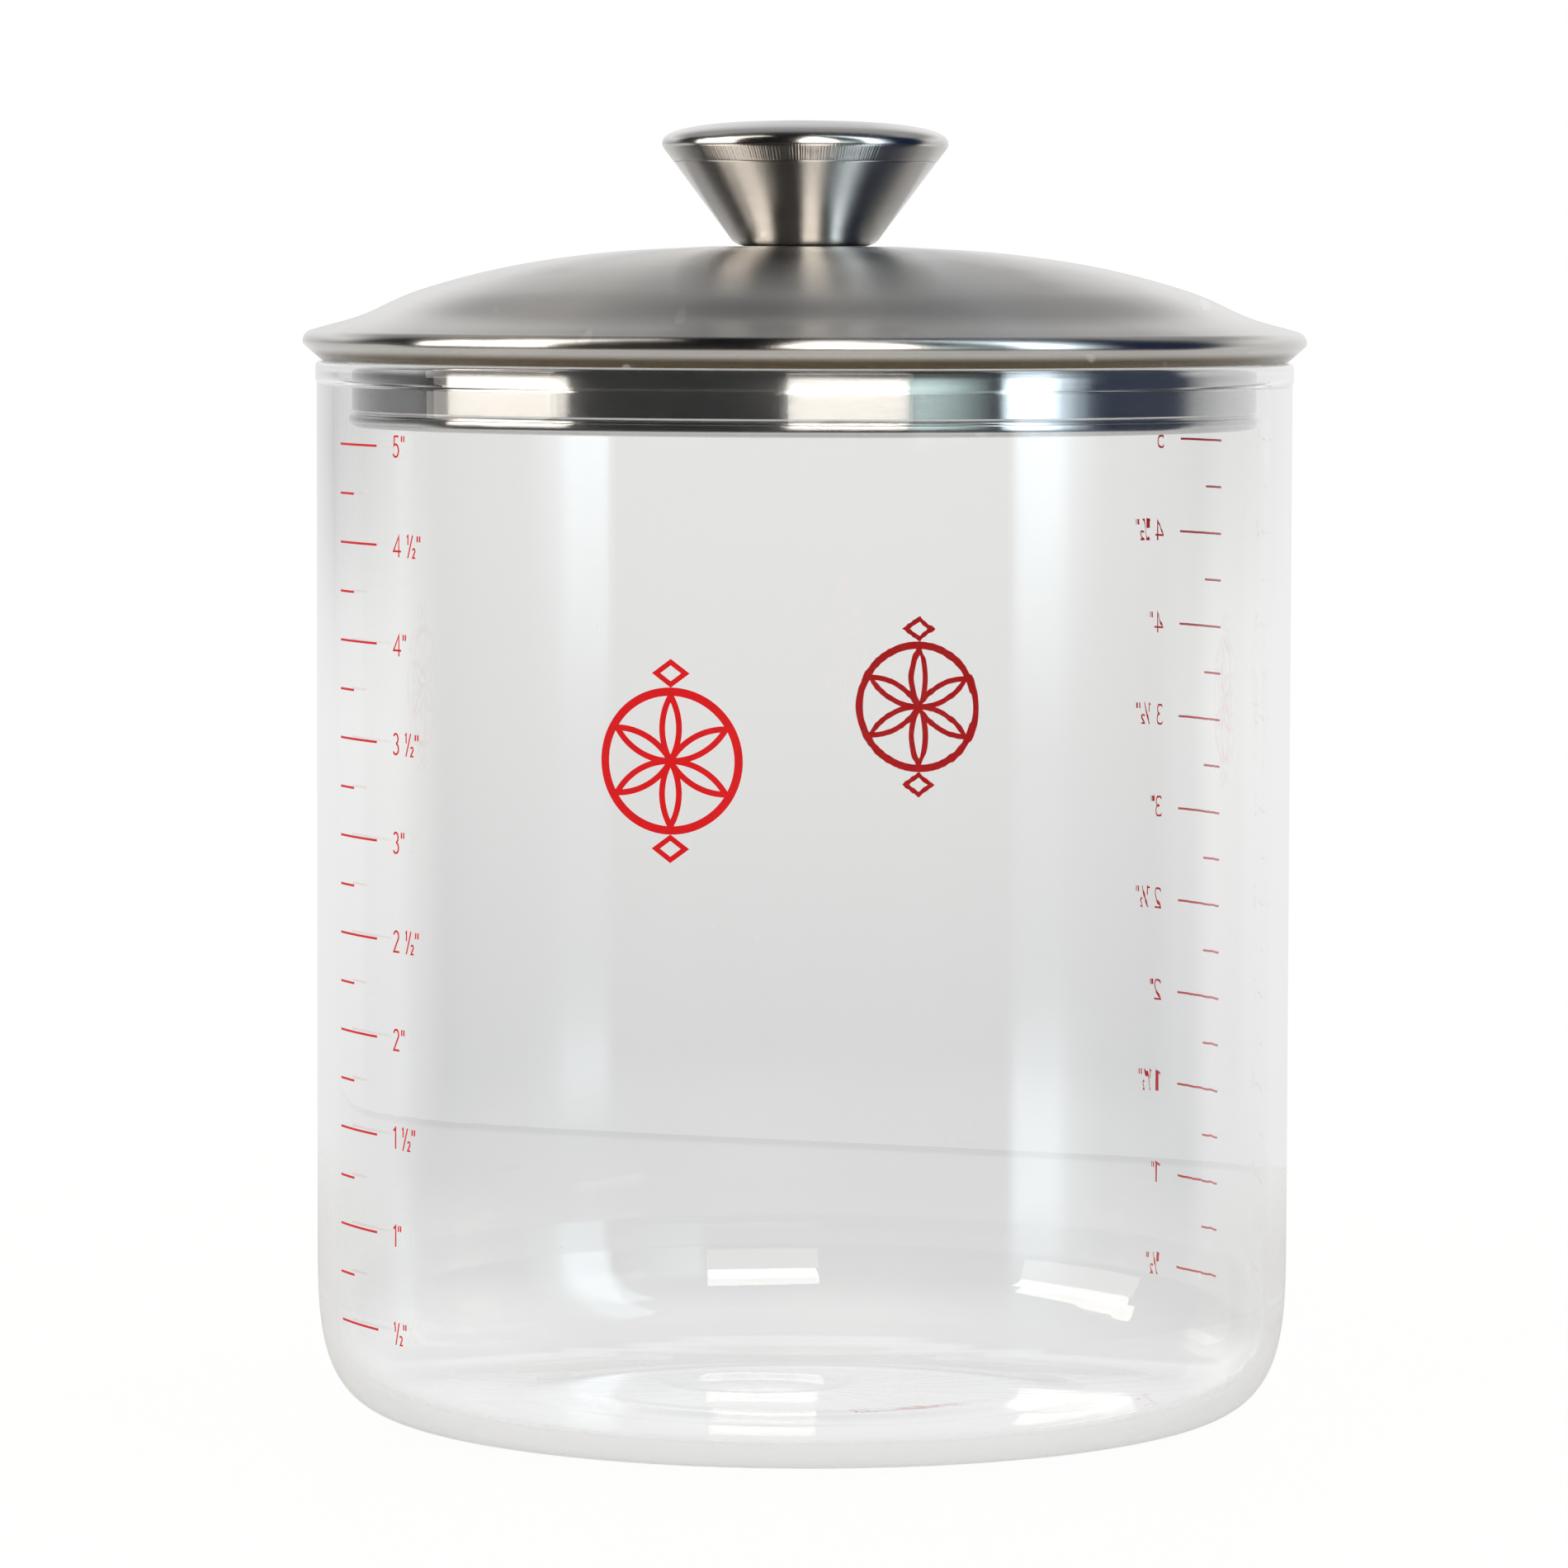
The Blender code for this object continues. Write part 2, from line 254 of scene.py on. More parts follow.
# Direction round the axis as a unit circle, and the distances out and up
def roundCoordinates(tree):
    place = addNode(tree, "ShaderNodeTexCoord").outputs["Object"]
    split = addNode(tree, "ShaderNodeSeparateXYZ")
    tree.links.new(place, split.inputs[0])
    x, y, z = split.outputs
    squares = calc(tree, "ADD", calc(tree, "MULTIPLY", x, x), calc(tree, "MULTIPLY", y, y))
    radius = calc(tree, "SQRT", calc(tree, "ADD", squares, 1e-9))
    return calc(tree, "DIVIDE", x, radius), calc(tree, "DIVIDE", y, radius), radius, z


# Fine lines that run round a turned or spun piece, and slow bands among them
def makeTurnedGrain():
    group, given, wanted = newGroup("turnedGrain", {"Lines": 9000.0, "Run": 14.0}, ("Grain", "Bands"))
    sideX, sideY, radius, height = roundCoordinates(group)
    across = calc(group, "MULTIPLY_ADD", height, 1.3, radius)
    fine = joined(
        group,
        calc(group, "MULTIPLY", sideX, given["Run"]),
        calc(group, "MULTIPLY", sideY, given["Run"]),
        calc(group, "MULTIPLY", across, given["Lines"]),
    )
    feed(group, wanted["Grain"], noise(group, fine, 1.0, 3.0, 0.65))
    slow = joined(
        group,
        calc(group, "MULTIPLY", sideX, 1.5),
        calc(group, "MULTIPLY", sideY, 1.5),
        calc(group, "MULTIPLY", across, calc(group, "DIVIDE", given["Lines"], 14.0)),
    )
    feed(group, wanted["Bands"], noise(group, slow, 1.0, 2.0, 0.5))
    return group


# What handling leaves: soft smears, and a few short scratches
def makeHandMarks():
    group, given, wanted = newGroup("handMarks", {"Smears": 45.0, "Scratches": 260.0}, ("Smear", "Scratch"))
    place = addNode(group, "ShaderNodeTexCoord").outputs["Object"]
    smears = noise(group, place, given["Smears"], 3.0, 0.55)
    feed(group, wanted["Smear"], remapped(group, smears, 0.48, 0.72, smooth=True))
    stretch = addNode(group, "ShaderNodeMapping")
    group.links.new(place, stretch.inputs["Vector"])
    stretch.inputs["Rotation"].default_value = (0.5, 0.9, 0.4)
    stretch.inputs["Scale"].default_value = (1.0, 0.06, 1.0)
    lines = noise(group, stretch.outputs[0], given["Scratches"], 1.0, 0.5)
    feed(group, wanted["Scratch"], remapped(group, lines, 0.735, 0.76))
    return group


# Small round grains of dust, far apart
def makeDustSpecks():
    group, given, wanted = newGroup("dustSpecks", {"Scale": 140.0, "Size": 0.05, "Share": 0.2}, ("Speck",))
    place = addNode(group, "ShaderNodeTexCoord").outputs["Object"]
    cells = addNode(group, "ShaderNodeTexVoronoi")
    group.links.new(place, cells.inputs["Vector"])
    group.links.new(given["Scale"], cells.inputs["Scale"])
    tone = addNode(group, "ShaderNodeSeparateColor")
    group.links.new(cells.outputs["Color"], tone.inputs[0])
    near = calc(group, "LESS_THAN", cells.outputs["Distance"], given["Size"])
    kept = calc(group, "LESS_THAN", tone.outputs[0], given["Share"])
    feed(group, wanted["Speck"], calc(group, "MULTIPLY", near, kept))
    return group


# Upright streaks and slow waves that drawing leaves in a glass wall
def makeDrawnRipple():
    group, given, wanted = newGroup("drawnRipple", {"Streaks": 26.0, "Waves": 5.0}, ("Height",))
    sideX, sideY, _, height = roundCoordinates(group)
    upright = joined(
        group,
        calc(group, "MULTIPLY", sideX, given["Streaks"]),
        calc(group, "MULTIPLY", sideY, given["Streaks"]),
        calc(group, "MULTIPLY", height, 9.0),
    )
    slow = joined(
        group,
        calc(group, "MULTIPLY", sideX, given["Waves"]),
        calc(group, "MULTIPLY", sideY, given["Waves"]),
        calc(group, "MULTIPLY", height, 40.0),
    )
    both = calc(group, "MULTIPLY_ADD", noise(group, upright, 1.0, 2.0), 0.35, noise(group, slow, 1.0, 1.0))
    feed(group, wanted["Height"], both)
    return group


turnedGrain = makeTurnedGrain()
handMarks = makeHandMarks()
dustSpecks = makeDustSpecks()
drawnRipple = makeDrawnRipple()
print("shared effects built")


def newMaterial(name):
    material = bpy.data.materials.new(name)
    material.use_nodes = True
    tree = material.node_tree
    return material, tree, tree.nodes["Principled BSDF"]


def addBump(tree, shader, height, strength, distance):
    bump = addNode(tree, "ShaderNodeBump")
    bump.inputs["Strength"].default_value = strength
    bump.inputs["Distance"].default_value = distance
    tree.links.new(height, bump.inputs["Height"])
    tree.links.new(bump.outputs["Normal"], shader.inputs["Normal"])


# What every steel here shares. Each finish gives the rest.
steelLook = {
    "grainTurn": 0.25,
    "bands": 0.4,
    "grain": 0.6,
    "tones": (0.25, 0.75),
    "scratches": 0.35,
    "scratchColour": (0.85, 0.85, 0.84),
    "bumpHeight": 0.00004,
}


# Steel that was turned or brushed round its axis: blurred across the lines, clear along them
def roundSteel(name, finish):
    material, tree, shader = newMaterial(name)
    grain = placeGroup(tree, turnedGrain, {"Lines": finish["lines"], "Run": finish["run"]})
    marks = placeGroup(tree, handMarks, {"Smears": finish["smears"]})
    shader.inputs["Metallic"].default_value = 1.0
    shader.inputs["Anisotropic"].default_value = finish["anisotropy"]
    shader.inputs["Anisotropic Rotation"].default_value = steelLook["grainTurn"]
    tangent = addNode(tree, "ShaderNodeTangent", direction_type="RADIAL", axis="Z")
    tree.links.new(tangent.outputs[0], shader.inputs["Tangent"])
    fine = calc(tree, "MULTIPLY", grain["Grain"], steelLook["grain"])
    tone = calc(tree, "MULTIPLY_ADD", grain["Bands"], steelLook["bands"], fine)
    steel = mixedColour(tree, tone, (*finish["dark"], 1), (*finish["bright"], 1))
    if "lip" in finish:  # painted shade: dark brownish colour on the lip where it nears the glass, in place of the dark reflection there
        split = addNode(tree, "ShaderNodeSeparateXYZ")
        tree.links.new(addNode(tree, "ShaderNodeTexCoord").outputs["Object"], split.inputs[0])
        low, high, paintedLipShade = finish["lip"]
        shade = remapped(tree, split.outputs[2], low, high, 1.0, 0.0, smooth=True)
        steel = mixedColour(tree, shade, steel, (*paintedLipShade, 1))
    scratches = calc(tree, "MULTIPLY", marks["Scratch"], steelLook["scratches"])
    worn = mixedColour(tree, scratches, steel, (*steelLook["scratchColour"], 1))
    tree.links.new(worn, shader.inputs["Base Color"])
    roughness = remapped(tree, tone, *steelLook["tones"], *finish["roughness"])
    smeared = calc(tree, "MULTIPLY_ADD", marks["Smear"], finish["smearBlur"], roughness)
    tree.links.new(smeared, shader.inputs["Roughness"])
    addBump(tree, shader, grain["Grain"], finish["bump"], steelLook["bumpHeight"])
    return material


def applyMaterial(piece, material):
    piece.data.materials.clear()
    piece.data.materials.append(material)


# Crock: a thin blown cylinder with a soft heel, a fire-polished rim and a mark in its floor

crock = {
    "radius": 0.0646,
    "height": 0.1398,
    "wall": 0.0024,
    "floor": 0.0024,
    "heelReach": 0.018,
    "heelRise": 0.025,
    "heelPower": 0.55,
    "innerHeel": 0.016,
    "innerPower": 0.6,
    "rimSwell": 0.00017,
    "rimBand": 0.00095,
    "rimFade": 0.0007,
    "rimPower": 0.45,
    "footRing": 0.007,
    "pushUp": 0.0008,
    "pushEdge": 0.011,
    "markAt": (-0.006, 0.0065),
    "markRadius": 0.014,
    "markDepth": 0.0006,
    "markEdge": 0.006,
    "floorSteps": 40,
    "segments": 320,
}
glassFinish = {
    "tint": (0.99, 0.995, 0.995),
    "ior": 1.47,
    "drawing": {"Streaks": 26.0, "Waves": 5.0},
    "ripple": 0.045,
    "rippleHeight": 0.0004,
    "specks": {"Scale": 170.0, "Size": 0.03, "Share": 0.12},
    "speckBlur": 0.45,
    "passing": (0.96, 0.965, 0.965),
}


# Flat up to a distance, then down to nothing over the width of the edge
def plateau(distance, flat, edge, height):
    past = max(0.0, distance - flat)
    return 0.0 if past >= edge else height * (1 + math.cos(math.pi * past / edge)) / 2


# The outer surface of the crock at a height, for what lies on it
def crockSurface(height):
    if height >= crock["heelRise"]:
        return crock["radius"]
    share = (crock["heelRise"] - height) / crock["heelRise"]
    sine = min(1.0, share ** (1 / crock["heelPower"]))
    across = math.sqrt(1 - sine * sine) ** crock["heelPower"]
    return crock["radius"] - crock["heelReach"] * (1 - across)


def makeCrock():
    radius, wall = crock["radius"], crock["wall"]
    heelStart = radius - crock["heelReach"]
    hollow = heelStart - crock["footRing"]
    markX, markY = crock["markAt"]
    steps = crock["floorSteps"]
    under = [Vector((hollow * step / steps, 0)) for step in range(steps + 1)]
    floor = [Vector((p.x, crock["floor"])) for p in under[::-1]]
    centre = Vector((heelStart, crock["heelRise"]))
    heel = fullCorner(centre, crock["heelReach"], -crock["heelRise"], crock["heelPower"], 48)[::-1]
    innerRound = crock["innerHeel"]
    innerCentre = Vector((radius - wall - innerRound, crock["floor"] + innerRound))
    innerHeel = fullCorner(innerCentre, innerRound, -innerRound, crock["innerPower"], 40)
    rimRound = wall / 2
    rimCentre = Vector((radius - rimRound, crock["height"] - rimRound - crock["rimSwell"]))
    bandFoot = rimCentre.y - crock["rimBand"]
    swollen = radius + crock["rimSwell"]
    outer, inner = [], []
    for step in range(9):  # the thick band fades into the wall
        t = step / 8
        ease = t * t * (3 - 2 * t)
        height = bandFoot - crock["rimFade"] * (1 - t)
        outer.append(Vector((radius + crock["rimSwell"] * ease, height)))
        inner.append(Vector((radius - wall - crock["rimSwell"] * ease, height)))
    half = swollen - rimCentre.x
    rim = fullCorner(rimCentre, half, half, crock["rimPower"], 18)
    rim += [Vector((2 * rimCentre.x - p.x, p.y)) for p in rim[-2::-1]]
    outline = under + heel + outer + rim + inner[::-1] + innerHeel + floor

    def shift(r, z, angle):
        inside = abs(z - crock["floor"]) < tiny
        if r <= hollow and (inside or z < tiny):
            edge = crock["pushEdge"]
            z += plateau(r, hollow - edge, edge, crock["pushUp"])
            if inside:
                fromMark = math.hypot(r * math.sin(angle) - markX, -r * math.cos(angle) - markY)
                edge = crock["markEdge"]
                z -= plateau(fromMark, crock["markRadius"] - edge, edge, crock["markDepth"])
        return r, z

    return turned("crock_glass", outline, crock["segments"], shift, sharpAbove=60)


def clearGlass():
    material, tree, shader = newMaterial("clearGlass")
    shader.inputs["Base Color"].default_value = (*glassFinish["tint"], 1)
    shader.inputs["Metallic"].default_value = 0.0
    shader.inputs["Transmission Weight"].default_value = 1.0
    shader.inputs["IOR"].default_value = glassFinish["ior"]
    specks = placeGroup(tree, dustSpecks, glassFinish["specks"])
    blur = calc(tree, "MULTIPLY", specks["Speck"], glassFinish["speckBlur"])
    tree.links.new(blur, shader.inputs["Roughness"])
    ripple = placeGroup(tree, drawnRipple, glassFinish["drawing"])
    addBump(tree, shader, ripple["Height"], glassFinish["ripple"], glassFinish["rippleHeight"])
    path = addNode(tree, "ShaderNodeLightPath")
    passing = calc(tree, "MAXIMUM", path.outputs["Is Shadow Ray"], path.outputs["Is Diffuse Ray"])
    trapped = calc(tree, "GREATER_THAN", path.outputs["Glossy Depth"], trappedAfter)
    passing = calc(tree, "MAXIMUM", passing, trapped)
    clear = addNode(tree, "ShaderNodeBsdfTransparent")
    clear.inputs["Color"].default_value = (*glassFinish["passing"], 1)
    both = addNode(tree, "ShaderNodeMixShader")  # matt things get light through it, and no ray stays trapped
    tree.links.new(passing, both.inputs[0])
    tree.links.new(shader.outputs[0], both.inputs[1])
    tree.links.new(clear.outputs[0], both.inputs[2])
    tree.links.new(both.outputs[0], tree.nodes["Material Output"].inputs["Surface"])
    return material


crockPiece = makeCrock()
applyMaterial(crockPiece, clearGlass())
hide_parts("glass_crock")
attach(crockPiece, "crock")
print("crock built")


# Printing on the glass: an inch scale and a rosette, each on the front and again on the back

printing = {
    "lift": 0.00001,
    "film": 0.00003,
    "layerStep": 0.000002,
    "layers": 8,
    "scaleStart": -1.1948,
    "longTick": 0.0116,
    "shortTick": 0.0048,
    "tickWidth": 0.0003,
    "numberStart": -0.952,
    "numberHeight": 0.00295,
    "numberStroke": 0.00026,
    "zeroHeight": 0.00234,
    "inch": 0.0254,
    "quarters": (2, 20),
    "backDrop": 0.0005,
    "backTurn": 0.034,
    "rosetteAt": -0.26,
    "rosetteHeight": 0.0908,
    "rosetteRadius": 0.0087,
    "rosetteStroke": 0.00105,
    "petalStroke": 0.72,
    "lozengeStroke": 0.62,
    "lozengeGap": 0.0023,
    "lozengeReach": (0.0019, 0.0014),
}
inkFinish = {
    "red": (0.84, 0.002, 0.005),
    "thinRed": (0.7392, 0.002, 0.005),
    "mottle": 900.0,
    "smears": 120.0,
    "roughness": (0.4, 0.55),
    "gloss": 0.2,
    "bump": 0.15,
    "bumpHeight": 0.00002,
}


def ellipsePoints(x, y, reachX, reachY, start, end, steps):
    points = []
    for step in range(steps + 1):
        angle = math.radians(start + (end - start) * step / steps)
        points.append((x + reachX * math.cos(angle), y + reachY * math.sin(angle)))
    return points


# Strokes of plain thin figures, one unit tall, each with its width
figures = {
    "1": (0.26, [[(0.03, 0.81), (0.2, 0.95), (0.2, 0.03)]]),
    "2": (0.52, [ellipsePoints(0.25, 0.73, 0.19, 0.22, 165, -25, 12) + [(0.06, 0.05), (0.49, 0.05)]]),
    "3": (
        0.5,
        [
            ellipsePoints(0.22, 0.735, 0.18, 0.215, 150, -82, 12),
            ellipsePoints(0.22, 0.285, 0.215, 0.235, 82, -150, 14),
        ],
    ),
    "4": (0.64, [[(0.64, 0.27), (0.06, 0.27), (0.47, 0.93), (0.47, 0.02)]]),
    "5": (
        0.52,
        [[(0.45, 0.95), (0.13, 0.95), (0.1, 0.55)] + ellipsePoints(0.22, 0.33, 0.235, 0.275, 112, -148, 14)],
    ),
    "inch": (0.22, [[(0.04, 0.97), (0.03, 0.71)], [(0.21, 0.97), (0.2, 0.71)]]),
}


# A flat ribbon along a line of points, as its left and right edges
def ribbonEdges(points, width, closed):
    left, right = [], []
    count = len(points)
    for place, point in enumerate(points):
        here = Vector(point)
        before = Vector(points[place - 1]) if place or closed else None
        after = Vector(points[(place + 1) % count]) if place + 1 < count or closed else None
        first = leftOf(before, here) if before is not None else leftOf(here, after)
        second = leftOf(here, after) if after is not None else first
        middle = (first + second).normalized()
        reach = width / 2 / max(0.45, middle.dot(second))
        left.append(here + middle * reach)
        right.append(here - middle * reach)
    return left, right


# Lays strokes round the crock as thin closed films. Crossing strokes lie one on another.
def printStrokes(name, strokes, drop):
    vertices, faces = [], []
    for layer, (points, width, closed) in enumerate(strokes):
        left, right = ribbonEdges(points, width, closed)
        base = printing["lift"] + printing["layerStep"] * (layer % printing["layers"])
        first = len(vertices)
        for a, b in zip(left, right):
            for depth in (base, base + printing["film"]):
                for corner in (a, b):
                    radius = crockSurface(corner.y - drop) + depth
                    angle = corner.x / crock["radius"]
                    vertices.append((radius * math.sin(angle), -radius * math.cos(angle), corner.y - drop))
        count = len(points)
        for place in range(count if closed else count - 1):
            here, after = first + 4 * place, first + 4 * ((place + 1) % count)
            for one, other in ((0, 1), (1, 3), (3, 2), (2, 0)):
                faces.append((here + one, here + other, after + other, after + one))
        if not closed:
            last = first + 4 * (count - 1)
            faces.append((first, first + 1, first + 3, first + 2))
            faces.append((last, last + 1, last + 3, last + 2))
    return meshPiece(name, vertices, faces)


def figureStrokes(figure, x, y, height, strokeWidth):
    placed = []
    for points in figures[figure][1]:
        placed.append(([(x + px * height, y + py * height) for px, py in points], strokeWidth, False))
    return placed, x + figures[figure][0] * height


# The number of an inch line, such as 3 1/2, then the inch sign
def numberStrokes(halves, x, y):
    tall, stroke = printing["numberHeight"], printing["numberStroke"]
    foot = y - tall / 2
    strokes = []
    if halves // 2:
        strokes, x = figureStrokes(str(halves // 2), x, foot, tall, stroke)
        x += tall * (0.44 if halves % 2 else 0.13)
    if halves % 2:
        size, thin = tall * 0.44, stroke * 0.85
        upper, _ = figureStrokes("1", x, foot + tall * 0.56, size, thin)
        slash = ([(x + tall * 0.07, foot), (x + tall * 0.42, foot + tall)], thin, False)
        lower, x = figureStrokes("2", x + tall * 0.4, foot, size, thin)
        strokes += upper + [slash] + lower
        x += tall * 0.1
    sign, _ = figureStrokes("inch", x, foot, tall, stroke)
    return strokes + sign


# A line from one side to the other, cut often enough to follow the round wall
def tickPoints(x, y, length):
    return [(x + length * step / 8, y) for step in range(9)]


def scaleStrokes(turn):
    strokes = []
    start = (printing["scaleStart"] + turn) * crock["radius"]
    numberAt = (printing["numberStart"] + turn) * crock["radius"]
    lowest, highest = printing["quarters"]
    for quarter in range(lowest, highest + 1):
        height = printing["zeroHeight"] + printing["inch"] * quarter / 4
        length = printing["shortTick"] if quarter % 2 else printing["longTick"]
        strokes.append((tickPoints(start, height, length), printing["tickWidth"], False))
        if quarter % 2 == 0:
            strokes += numberStrokes(quarter // 2, numberAt, height)
    return strokes


# A compass-drawn rosette of six petals in a ring, between two small lozenges
def rosetteStrokes(turn):
    radius, stroke = printing["rosetteRadius"], printing["rosetteStroke"]
    x, y = (printing["rosetteAt"] + turn) * crock["radius"], printing["rosetteHeight"]
    strokes = [(ellipsePoints(x, y, radius, radius, 0, 360, 96)[:-1], stroke, True)]
    inner = radius - stroke / 2
    for petal in range(6):
        toPetal = 60 * petal + 30
        angle = math.radians(toPetal)
        centre = (x + inner * math.cos(angle), y + inner * math.sin(angle))
        arc = ellipsePoints(*centre, inner, inner, toPetal + 120, toPetal + 240, 32)
        strokes.append((arc, stroke * printing["petalStroke"], False))
    wide, tall = printing["lozengeReach"]
    for side in (-1, 1):
        middle = y + side * (radius + printing["lozengeGap"])
        lozenge = [(x + wide, middle), (x, middle + tall), (x - wide, middle), (x, middle - tall)]
        strokes.append((lozenge, stroke * printing["lozengeStroke"], True))
    return strokes


def redInk():
    material, tree, shader = newMaterial("redInk")
    place = addNode(tree, "ShaderNodeTexCoord").outputs["Object"]
    coverage = remapped(tree, noise(tree, place, inkFinish["mottle"], 3.0, 0.6), 0.3, 0.7)
    red = mixedColour(tree, coverage, (*inkFinish["thinRed"], 1), (*inkFinish["red"], 1))
    tree.links.new(red, shader.inputs["Base Color"])
    marks = placeGroup(tree, handMarks, {"Smears": inkFinish["smears"]})
    roughness = remapped(tree, marks["Smear"], 0.0, 1.0, *inkFinish["roughness"])
    tree.links.new(roughness, shader.inputs["Roughness"])
    shader.inputs["Specular IOR Level"].default_value = inkFinish["gloss"]
    addBump(tree, shader, coverage, inkFinish["bump"], inkFinish["bumpHeight"])
    return material


ink = redInk()
for side, turn, drop in (("front", 0, 0.0), ("back", math.pi, printing["backDrop"])):
    scaleTurn = turn + (printing["backTurn"] if turn else 0.0)
    for kind, strokes in (("scale", scaleStrokes(scaleTurn)), ("rosette", rosetteStrokes(turn))):
        piece = printStrokes(kind + "_print_" + side, strokes, drop)
        applyMaterial(piece, ink)
        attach(piece, "crock")
print("printing built")


# Lid: a pressed dome with its edge turned under, and the drawn ring that it holds

seatHeight = crock["height"] + seatGap
dome = {
    "overhang": 0.00184,
    "sheet": 0.0006,
    "crown": 0.0126,
    "edgeRise": 0.0023,
    "lipStart": 0.0007,
    "lipLand": 0.0011,
    "lipSink": 0.00025,
    "roll": 0.0015,
    "rollUnder": 0.0007,
    "hole": 0.0029,
    "rollFrom": 73,
    "softEdge": 0.00018,
    "shares": (
        (0.191, 1.0), (0.4022, 0.933), (0.6033, 0.782), (0.7842, 0.536), (0.9008, 0.275), (0.9863, 0.144),
    ),
    "segments": 320,
}
domeFinish = {
    "dark": (0.56, 0.545, 0.525),
    "bright": (0.68, 0.665, 0.645),
    "roughness": (0.19, 0.23),
    "anisotropy": 1.0,
    "lines": 9000.0,
    "run": 14.0,
    "smears": 45.0,
    "smearBlur": 0.03,
    "bump": 0.2,
    # painted shade: the heights between which the lip turns to this dark brownish colour
    "lip": (seatHeight + 0.0005, seatHeight + 0.0015, (0.13, 0.1, 0.06)),
}
skirt = {
    "clearance": 0.00224,
    "sheet": 0.0005,
    "fillet": 0.002,
    "depth": 0.0089,
    "beadBend": 0.0004,
    "beadSwell": 0.00024,
    "beadStart": 0.0003,
    "grooveDepth": 0.0003,
    "grooveWidth": 0.0005,
    "softEdge": 0.00012,
    "segments": 320,
}
skirtFinish = {
    "dark": (0.56, 0.56, 0.56),
    "bright": (0.70, 0.70, 0.69),
    "roughness": (0.1, 0.14),
    "anisotropy": 0.85,
    "lines": 7000.0,
    "run": 20.0,
    "smears": 60.0,
    "smearBlur": 0.03,
    "bump": 0.05,
}
lidReach = crock["radius"] + dome["overhang"] - dome["roll"]
edgeHeight = seatHeight + dome["edgeRise"]
lidTop = edgeHeight + dome["crown"]


def lipLine():
    foot = Vector((crock["radius"] - dome["lipStart"], seatHeight - dome["lipSink"]))
    centre = Vector((lidReach + dome["roll"] - dome["rollUnder"], edgeHeight))
    top, lean = tangentFrom(foot, centre, dome["rollUnder"])
    under = arcPoints(centre, dome["rollUnder"], 0, math.degrees(lean) - 90, 14)
    return [top, foot, Vector((foot.x - dome["lipLand"], foot.y))], under


def makeDome():
    crown = [Vector((lidReach * out, edgeHeight + dome["crown"] * up)) for out, up in dome["shares"]]
    lip, under = lipLine()
    roll = arcPoints(Vector((lidReach, edgeHeight)), dome["roll"], dome["rollFrom"], 0, 20)
    line = [Vector((dome["hole"], lidTop))] + smoothThrough(crown, 12) + roll + under[1:] + lip[1:]
    outline = softened(sheetOutline(line, -dome["sheet"]), dome["softEdge"])
    return turned("lid_dome_steel", outline, dome["segments"])


def makeSkirt():
    lip, _ = lipLine()
    start, foot, end = beside(lip, -(dome["sheet"] + seatGap))
    radius = crock["radius"] - crock["wall"] - skirt["clearance"]
    filletCentre = Vector((radius + skirt["fillet"], end.y - skirt["fillet"]))
    fillet = arcPoints(filletCentre, skirt["fillet"], 90, 180, 18)
    bottom = seatHeight - skirt["depth"]
    beadRound = skirt["beadBend"] + skirt["sheet"]
    beadCentre = Vector((radius + skirt["beadSwell"] - beadRound, bottom + beadRound))
    bead = arcPoints(beadCentre, beadRound, 0, -170, 24)
    groove = bottom + 2 * beadRound
    wall = [
        Vector((radius, groove + skirt["grooveWidth"])),
        Vector((radius - skirt["grooveDepth"], groove)),
        Vector((radius + skirt["beadSwell"], groove - skirt["beadStart"])),
    ]
    line = [start, foot] + fillet + wall + bead
    outline = softened(sheetOutline(line, -skirt["sheet"]), skirt["softEdge"])
    return turned("lid_skirt_steel", outline, skirt["segments"])


domePiece = makeDome()
applyMaterial(domePiece, roundSteel("brushedDomeSteel", domeFinish))
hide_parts("lid_dome")
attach(domePiece, "lid")

skirtPiece = makeSkirt()
applyMaterial(skirtPiece, roundSteel("brightSkirtSteel", skirtFinish))
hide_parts("lid_skirt")
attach(skirtPiece, "lid")
print("lid built")


# Knob: a sheet cone with a crimped cap

knob = {
    "radius": 0.01895,
    "footRadius": 0.0091,
    "footRound": 0.0026,
    "sink": 0.00028,
    "shoulder": 0.0132,
    "crown": 0.0031,
    "crownPower": 0.8,
    "sheet": 0.0006,
    "capSheet": 0.0005,
    "hem": 0.0023,
    "belowHem": 0.00004,
    "tuck": 0.0003,
    "softEdge": 0.00005,
    "crimps": 300,
    "crimpDepth": 0.000014,
    "crimpWidth": 0.004,
    "crimpTop": 0.0001,
    "crimpFade": (0.0006, 0.0012),
    "segments": 240,
    "capSegments": 1500,
}
knobFinish = {
    "dark": (0.56, 0.545, 0.525),
    "bright": (0.70, 0.685, 0.665),
    "roughness": (0.18, 0.22),
    "anisotropy": 0.8,
    "lines": 11000.0,
    "run": 9.0,
    "smears": 70.0,
    "smearBlur": 0.03,
    "bump": 0.1,
}
knobFoot = lidTop + seatGap
knobEdge = knobFoot + knob["shoulder"]
knobRoll = knob["capSheet"] + seatGap


def coneLine():
    foot = Vector((knob["footRadius"], knobFoot - knob["sink"]))
    top, lean = tangentFrom(foot, Vector((knob["radius"] - knobRoll, knobEdge)), knobRoll)
    return foot, top, lean


def makeKnobBody():
    foot, top, lean = coneLine()
    along = (top - foot).normalized()
    trim = knob["footRound"] * math.tan(lean / 2)
    centre = Vector((foot.x - trim, foot.y + knob["footRound"]))
    rounding = arcPoints(centre, knob["footRound"], -90, math.degrees(lean) - 90, 14)
    belowHem = top - along * (knob["hem"] + knob["belowHem"])
    tuck = beside([belowHem, top - along * knob["tuck"]], knobRoll)
    line = [Vector((dome["hole"], foot.y))] + rounding + [belowHem] + tuck
    outline = softened(sheetOutline(line, knob["sheet"]), knob["softEdge"])
    return turned("knob_body_steel", outline, knob["segments"])


